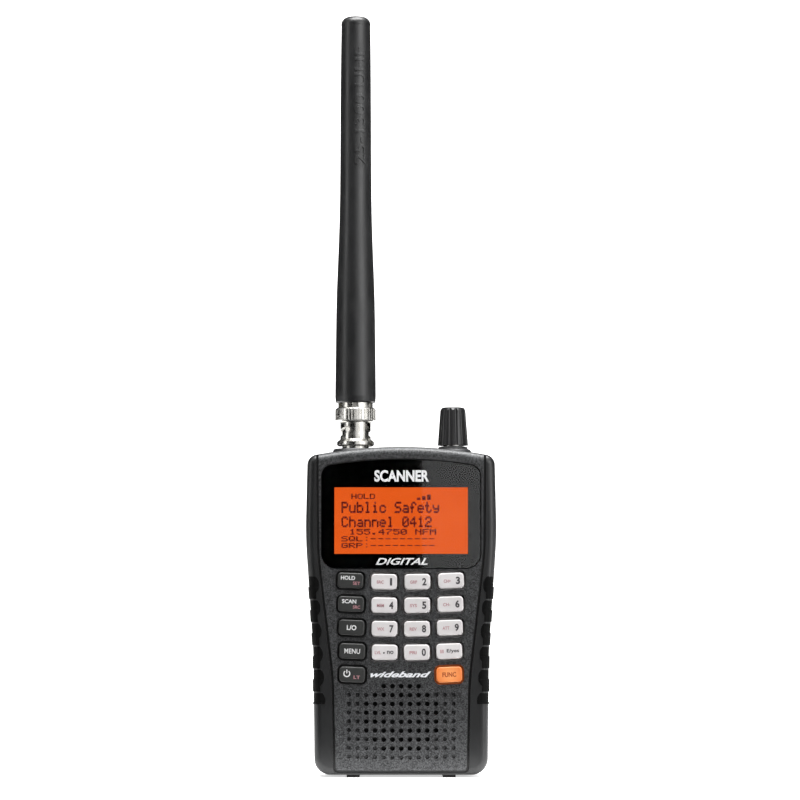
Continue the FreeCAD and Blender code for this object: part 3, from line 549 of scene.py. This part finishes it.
def mesh_piece(name, mesh, material, body):
    """Turns a bmesh into a piece that rides on a body."""
    data = bpy.data.meshes.new(name)
    mesh.to_mesh(data)
    mesh.free()
    return new_piece(name, data, material, body)


def word_mesh(name, words, weight, slant):
    """The solid letters of some words, lying in the XY plane."""
    curve = bpy.data.curves.new(name, "FONT")
    curve.body = words
    curve.align_x = "CENTER"
    curve.align_y = "CENTER"
    curve.shear = slant
    curve.offset = weight
    curve.extrude = 0.5
    curve.resolution_u = 4
    maker = bpy.data.objects.new(name + "_curve", curve)
    bpy.context.scene.collection.objects.link(maker)
    bpy.context.view_layer.update()
    data = bpy.data.meshes.new_from_object(maker.evaluated_get(bpy.context.evaluated_depsgraph_get()))
    bpy.data.objects.remove(maker)
    return data


def lettering(name, words, height, centre, material, body, width, weight, slant=0.0, lean=0.0):
    """Printed words on the front, scaled to a height and a width, with their middle at a point.

    lean turns them in the plane of the face.
    """
    data = word_mesh(name, words, weight, slant)
    points = [vertex.co for vertex in data.vertices]
    low = Vector([min(point[axis] for point in points) for axis in range(3)])
    high = Vector([max(point[axis] for point in points) for axis in range(3)])
    tall = height / (high.y - low.y)
    wide = width / (high.x - low.x)
    data.transform(Matrix.Translation(-(low + high) / 2))
    data.transform(Matrix.Diagonal((wide, tall, ink_thickness, 1.0)))
    data.transform(Matrix.Rotation(math.pi / 2, 4, "X"))
    data.transform(Matrix.Rotation(lean, 4, "Y"))
    data.transform(Matrix.Translation((centre[0], centre[1] - ink_lift - ink_thickness / 2, centre[2])))
    data.name = name
    return new_piece(name, data, material, body)


def key_frame(key):
    """Centre of a key's face, and the small turn it has in the plane of the face."""
    low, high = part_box(key)
    centre = Vector(((low.x + high.x) / 2, low.y, (low.z + high.z) / 2))
    return centre, -key_tilt * centre.x / outer_column


def key_word(key, tag, words, height, width, across, up, material, weight=0.02):
    """Prints words on a key. across and up are measured from its centre, in its own turned frame."""
    centre, lean = key_frame(key)
    shift = Matrix.Rotation(lean, 3, "Y") @ Vector((across * mm, 0, up * mm))
    return lettering(key + tag, words, height * mm, centre + shift, material, key,
                     width=width * mm, weight=weight, lean=lean)


def print_digits():
    """A digit on the right of each white key and a small word on its left."""
    small_words = {
        "1": "SRC", "2": "GRP", "3": "CH+",
        "4": "MEM", "5": "SYS", "6": "CH-",
        "7": "WX", "8": "REV", "9": "ATT",
        "0": "PRI",
    }
    for digit, word in small_words.items():
        key = "key_" + digit
        width = 0.75 if digit == "1" else 1.5
        key_word(key, "_digit", digit, 2.65, width, 2.5, 0, dark_ink, weight=0.035)
        key_word(key, "_word", word, 1.15, 2.5, -1.35, -0.1, red_ink)


def print_words():
    """The words on the other keys. Sizes and places are in millimetres."""
    # key, tag, words, height, width, across, up, ink, weight
    rows = [
        ("key_point", "_dot", ".", 0.65, 0.65, -0.25, -0.2, dark_ink, 0.01),
        ("key_point", "_word", "no", 1.2, 2.3, 2.0, 0, dark_ink, 0.02),
        ("key_point", "_small", "LVL", 1.15, 2.2, -2.4, -0.1, red_ink, 0.02),
        ("key_enter", "_word", "E/yes", 1.6, 4.4, 1.3, 0, dark_ink, 0.02),
        ("key_enter", "_small", "II", 1.25, 1.1, -2.6, 0, red_ink, 0.02),
        ("key_hold", "_word", "HOLD", 1.45, 5.1, -0.9, 0.95, white_ink, 0.03),
        ("key_hold", "_small", "SET", 1.15, 2.6, 2.2, -0.9, red_ink, 0.02),
        ("key_scan", "_word", "SCAN", 1.45, 5.1, -0.7, 0.95, white_ink, 0.03),
        ("key_scan", "_small", "SRC", 1.15, 2.6, 2.0, -1.0, red_ink, 0.02),
        ("key_lockout", "_word", "L/O", 1.8, 3.4, 0, 0, white_ink, 0.03),
        ("key_menu", "_word", "MENU", 1.75, 5.6, 0, 0, white_ink, 0.012),
        ("key_power", "_small", "LT", 1.2, 2.3, 1.7, -0.9, red_ink, 0.02),
        ("key_function", "_word", "FUNC", 1.7, 4.9, 0, 0, rust_ink, 0.03),
    ]
    for row in rows:
        key_word(*row)


def power_mark():
    """A broken ring with a stroke through its gap."""
    ring_centre = key_frame("key_power")[0] + Vector((-1.9 * mm, -ink_lift - ink_thickness, 0.35 * mm))
    mesh = bmesh.new()
    rings = []
    for step in range(power_ring_steps + 1):
        turn = (2 * math.pi - 2 * power_ring_gap) * step / power_ring_steps
        angle = math.pi / 2 + power_ring_gap + turn
        corners = []
        for radius in (power_ring_inner, power_ring_outer):
            for depth in (0, ink_thickness):
                offset = Vector((radius * math.cos(angle), depth, radius * math.sin(angle)))
                corners.append(mesh.verts.new(ring_centre + offset))
        rings.append(corners)
    for here, there in zip(rings, rings[1:]):
        for a, b in ((0, 1), (1, 3), (3, 2), (2, 0)):
            mesh.faces.new((here[a], here[b], there[b], there[a]))
    for end in (rings[0], rings[-1]):
        mesh.faces.new((end[0], end[1], end[3], end[2]))
    size = Matrix.Diagonal((power_bar_width, ink_thickness, power_bar_height, 1.0))
    bar_centre = Matrix.Translation(ring_centre + Vector((0, ink_thickness / 2, power_bar_up)))
    bmesh.ops.create_cube(mesh, size=1.0, matrix=bar_centre @ size)
    bmesh.ops.recalc_face_normals(mesh, faces=mesh.faces)
    return mesh_piece("key_power_mark", mesh, white_ink, "key_power")


def slice_letters(mesh):
    """Cuts flat letters across in level slices, so that they can bend."""
    bmesh.ops.triangulate(mesh, faces=mesh.faces)
    for step in range(-letters_slices, letters_slices + 1):
        level = step * letters_tall / (2 * letters_slices + 1)
        everything = mesh.verts[:] + mesh.edges[:] + mesh.faces[:]
        bmesh.ops.bisect_plane(mesh, geom=everything, plane_co=(0, 0, level), plane_no=(0, 0, 1))


def raised_range(material):
    """The tuning range in raised letters, running up the antenna and wrapped round it."""
    low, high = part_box("antenna_sheath")
    axis_x = (low.x + high.x) / 2
    axis_y = (low.y + high.y) / 2
    piece = lettering("antenna_range", "25-1300 UHF", letters_tall, (0, 0, 0), material, "antenna",
                      width=letters_long, weight=0.008)
    mesh = bmesh.new()
    mesh.from_mesh(piece.data)
    slice_letters(mesh)
    front = min(vertex.co.y for vertex in mesh.verts)
    back = max(vertex.co.y for vertex in mesh.verts)
    for vertex in mesh.verts:
        along = vertex.co.x + letters_height
        forward = (back - vertex.co.y) / (back - front)
        sheath_radius = letters_radius + letters_taper * (letters_height - along)
        radius = sheath_radius + letters_rise * (2 * forward - 1)
        angle = -vertex.co.z / letters_radius + letters_turn
        vertex.co = Vector((axis_x + radius * math.sin(angle), axis_y - radius * math.cos(angle), along))
    bmesh.ops.recalc_face_normals(mesh, faces=mesh.faces)
    mesh.to_mesh(piece.data)
    mesh.free()


def print_case():
    """Words behind the window and on the face plate."""
    lettering("window_word", "SCANNER", 4.2 * mm, (0.2 * mm, mask_front, 107.6 * mm), window_ink, "case",
              width=19.6 * mm, weight=0.035)
    lettering("window_line", "DIGITAL", 2.45 * mm, (0.2 * mm, mask_front, 77.0 * mm), window_ink, "case",
              width=18.6 * mm, weight=0.02, slant=0.35)
    lettering("plate_word", "wideband", 2.1 * mm, (-0.1 * mm, plate_front, 36.7 * mm), silver_ink, "case",
              width=21.6 * mm, weight=0.03, slant=0.45)


# ---------------------------------------------------------------- studio

def look_at(thing, target):
    thing.rotation_mode = "QUATERNION"
    thing.rotation_quaternion = (Vector(target) - thing.location).to_track_quat("-Z", "Y")


def make_camera():
    data = bpy.data.cameras.new("camera")
    data.sensor_width = 36.0
    camera = bpy.data.objects.new("camera", data)
    camera.location = (view_centre[0], plate_front - camera_distance, camera_height)
    target = Vector((view_centre[0], plate_front, view_centre[1]))
    data.lens = data.sensor_width * (target - camera.location).length / view_width
    look_at(camera, target)
    bpy.context.scene.collection.objects.link(camera)
    bpy.context.scene.camera = camera


def make_light(name, location, target, width, height, brightness):
    data = bpy.data.lights.new(name, "AREA")
    data.shape = "RECTANGLE"
    data.size = width
    data.size_y = height
    data.energy = brightness * math.pi * width * height
    light = bpy.data.objects.new(name, data)
    light.location = location
    look_at(light, target)
    bpy.context.scene.collection.objects.link(light)


def make_sky():
    """A plain white room."""
    world = bpy.data.worlds.new("studio")
    world.use_nodes = True
    background = world.node_tree.nodes["Background"]
    background.inputs["Color"].default_value = rgb(1.0, 1.0, 1.0)
    background.inputs["Strength"].default_value = sky_level
    bpy.context.scene.world = world


def backdrop_profile():
    """Y and Z along the sheet: the floor, a quarter circle, and the wall."""
    profile = [(-floor_half, 0.0)]
    for step in range(backdrop_steps + 1):
        angle = math.pi / 2 * step / backdrop_steps
        y = backdrop_y - backdrop_bend + backdrop_bend * math.sin(angle)
        profile.append((y, backdrop_bend - backdrop_bend * math.cos(angle)))
    profile.append((backdrop_y, floor_half))
    return profile


def white_sheet():
    """White paper, glowing a little so that it stays white under any light."""
    material, tree, shader = new_material("backdrop_white")
    tone = ramp(tree, noise(tree, scale=3.0), rgb(0.93, 0.93, 0.93), rgb(0.96, 0.96, 0.96))
    feed(tree, shader, Base_Color=tone)
    shader.inputs["Roughness"].default_value = 0.9
    shader.inputs["Specular IOR Level"].default_value = 0.1
    shader.inputs["Emission Color"].default_value = rgb(1.0, 1.0, 1.0)
    shader.inputs["Emission Strength"].default_value = backdrop_glow
    return material


def make_backdrop():
    """A white sheet that runs under the object and curves up behind it."""
    mesh = bmesh.new()
    rows = [[mesh.verts.new((x, y, z)) for x in (-floor_half, floor_half)] for y, z in backdrop_profile()]
    for here, there in zip(rows, rows[1:]):
        mesh.faces.new((here[0], here[1], there[1], there[0]))
    data = bpy.data.meshes.new("backdrop")
    mesh.to_mesh(data)
    mesh.free()
    for face in data.polygons:
        face.use_smooth = True
    data.materials.append(white_sheet())
    backdrop = bpy.data.objects.new("backdrop", data)
    bpy.context.scene.collection.objects.link(backdrop)


def upright(start, end):
    """Corners of a card that stands between two points of the floor."""
    return [(*start, card_foot), (*end, card_foot), (*end, card_top), (*start, card_top)]


def make_card(name, corners, in_reflections_only=False):
    """A black card that the camera doesn't see: it shows in reflections and keeps light off one side."""
    data = bpy.data.meshes.new(name)
    data.from_pydata(corners, [], [(0, 1, 2, 3)])
    material, _, shader = new_material(name + "_black")
    shader.inputs["Base Color"].default_value = rgb(0.0, 0.0, 0.0)
    shader.inputs["Roughness"].default_value = 1.0
    shader.inputs["Specular IOR Level"].default_value = 0.0
    data.materials.append(material)
    card = bpy.data.objects.new(name, data)
    bpy.context.scene.collection.objects.link(card)
    card.visible_camera = False
    card.visible_shadow = False
    card.visible_diffuse = not in_reflections_only


def make_cards():
    """Cards in front on the left, on both sides, behind, and on the floor in front."""
    make_card("front_card", upright((front_card_left, card_front), (front_card_right, card_front)))
    make_card("left_card", upright((-card_side, card_front), (-card_side, card_back)))
    floor_corners = [
        (-floor_card_half, card_front, card_foot),
        (floor_card_half, card_front, card_foot),
        (floor_card_half, floor_card_back, card_foot),
        (-floor_card_half, floor_card_back, card_foot),
    ]
    make_card("floor_card", floor_corners)
    make_card("right_card", upright((card_side, right_card_front), (card_side, card_back)),
              in_reflections_only=True)
    make_card("back_card", upright((-card_side, card_back), (card_side, card_back)),
              in_reflections_only=True)


def make_studio():
    bpy.context.scene.view_settings.view_transform = "Standard"
    make_sky()
    make_backdrop()
    for light in studio_lights:
        make_light(*light)
    make_cards()


# ---------------------------------------------------------------- the object

def dress(material, *names):
    """Gives CAD nodes their material."""
    for name in names:
        slots = nodes[name].data.materials
        if not slots:
            slots.append(material)
        for index in range(len(slots)):
            slots[index] = material


def dress_case():
    case = moulded("case_plastic", (0.009, 0.0093, 0.0098), roughness=0.36, grain=2600.0)
    dress(case, "front_case", "rear_case", "battery_door", "door_latch")
    dress(flake_paint(), "face_plate")
    pad = rubber("grip_rubber", (0.001, 0.001, 0.001), roughness=0.6, grain=2000.0, dust=0.01, specular=0.1)
    dress(pad, "grip_left", "grip_right")
    dress(rubber("foot_rubber", (0.012, 0.012, 0.012), roughness=0.7), "feet")
    screw = moulded("screw_black", (0.03, 0.03, 0.03), roughness=0.35, grain=900.0, grain_height=0.01 * mm)
    dress(screw, "case_screws", "clip_pin")
    dress(moulded("clip_plastic", (0.016, 0.016, 0.017), roughness=0.36, grain=2400.0), "belt_clip")
    socket = moulded("socket_plastic", (0.012, 0.012, 0.012), roughness=0.28, grain=2000.0,
                     grain_height=0.01 * mm)
    dress(socket, "earphone_jack")


def dress_display():
    dress(clear_lens(), "display_window")
    dress(printed_mask(), "window_mask")
    dress(lit_display(), "lcd_panel")
    dress(moulded("guide_plastic", (0.75, 0.74, 0.70), roughness=0.5), "light_guide")


def dress_keys():
    white = moulded("key_white", (0.655, 0.63, 0.63), roughness=0.36, grain=3000.0, grain_height=0.008 * mm,
                    edge_wear_and_highlight=0.0, edge=0.1 * mm)
    dark = moulded("key_dark", (0.026, 0.027, 0.026), roughness=0.38, grain=3000.0,
                   grain_height=0.012 * mm, edge_wear_and_highlight=0.3)
    orange = backlit_orange()
    for name in nodes:
        if name in dark_keys:
            dress(dark, name)
        elif name == "key_function":
            dress(orange, name)
        elif name.startswith("key_"):
            dress(white, name)
    dress(rubber("mat_rubber", (0.008, 0.008, 0.008), roughness=0.6), "keypad_mat")


def dress_top():
    nickel = polished_metal("nickel_plate", (0.66, 0.65, 0.62), roughness=0.22)
    dress(nickel, "antenna_collar", "antenna_plug", "bnc_jack", "collar_washer", "encoder_shaft")
    nut = moulded("nut_black", (0.02, 0.02, 0.02), roughness=0.35, grain=900.0, grain_height=0.01 * mm)
    dress(nut, "panel_nuts")
    dress(rubber("gasket_rubber", (0.014, 0.014, 0.015), roughness=0.45), "bnc_gasket", "knob_gasket")
    dress(moulded("insulator", (0.8, 0.79, 0.76), roughness=0.4), "bnc_insulator", "encoder_plunger")
    sheath = rubber("sheath_rubber", (0.009, 0.0092, 0.0096), roughness=0.36, dust=0.05,
                    streak=(1.0, 1.0, 0.25))
    dress(sheath, "antenna_sheath")
    raised_range(sheath)
    dress(moulded("core_resin", (0.45, 0.35, 0.18), roughness=0.4), "antenna_core")
    knob = moulded("knob_plastic", (0.007, 0.007, 0.0075), roughness=0.32, grain=2600.0,
                   grain_height=0.012 * mm, edge_wear_and_highlight=0.3)
    dress(knob, "volume_knob")


def dress_inside():
    tin = polished_metal("tin_plate", (0.66, 0.67, 0.68), roughness=0.3)
    dress(tin, "rf_shield", "speaker_frame", "usb_jack", "encoder_body")
    spring = polished_metal("spring_steel", (0.72, 0.70, 0.66), roughness=0.22)
    dress(spring, "battery_contacts", "clip_spring")
    dress(moulded("ferrite", (0.05, 0.05, 0.05), roughness=0.6), "speaker_magnet")
    dress(cloth("cone_paper", (0.03, 0.03, 0.03)), "speaker_cone")
    dress(cloth("grille_cloth", (0.012, 0.012, 0.012)), "speaker_cloth")
    dress(circuit_board(), "main_board")
    dress(moulded("chip_resin", (0.02, 0.02, 0.022), roughness=0.5), "board_components")
    dress(cell_sleeve(), "battery_cells")


display_ink = ink("display_ink", (0.25, 0.014, 0.003), roughness=0.4, glow=0.1)
white_ink = ink("white_ink", (0.75, 0.75, 0.75))
# The white print behind the window glows a little: painted light that makes it brighter than the lamps
# alone would
window_ink = ink("window_ink", (0.9, 0.9, 0.9), roughness=0.5, glow=0.35)
silver_ink = ink("silver_ink", (0.78, 0.79, 0.82))
dark_ink = ink("dark_ink", (0.055, 0.05, 0.055))
red_ink = ink("red_ink", (0.45, 0.22, 0.24))
rust_ink = ink("rust_ink", (0.38, 0.06, 0.012))

make_camera()
make_studio()
dress_case()
dress_display()
dress_keys()
dress_top()
dress_inside()
dot_matrix_text()
print_digits()
print_words()
power_mark()
print_case()
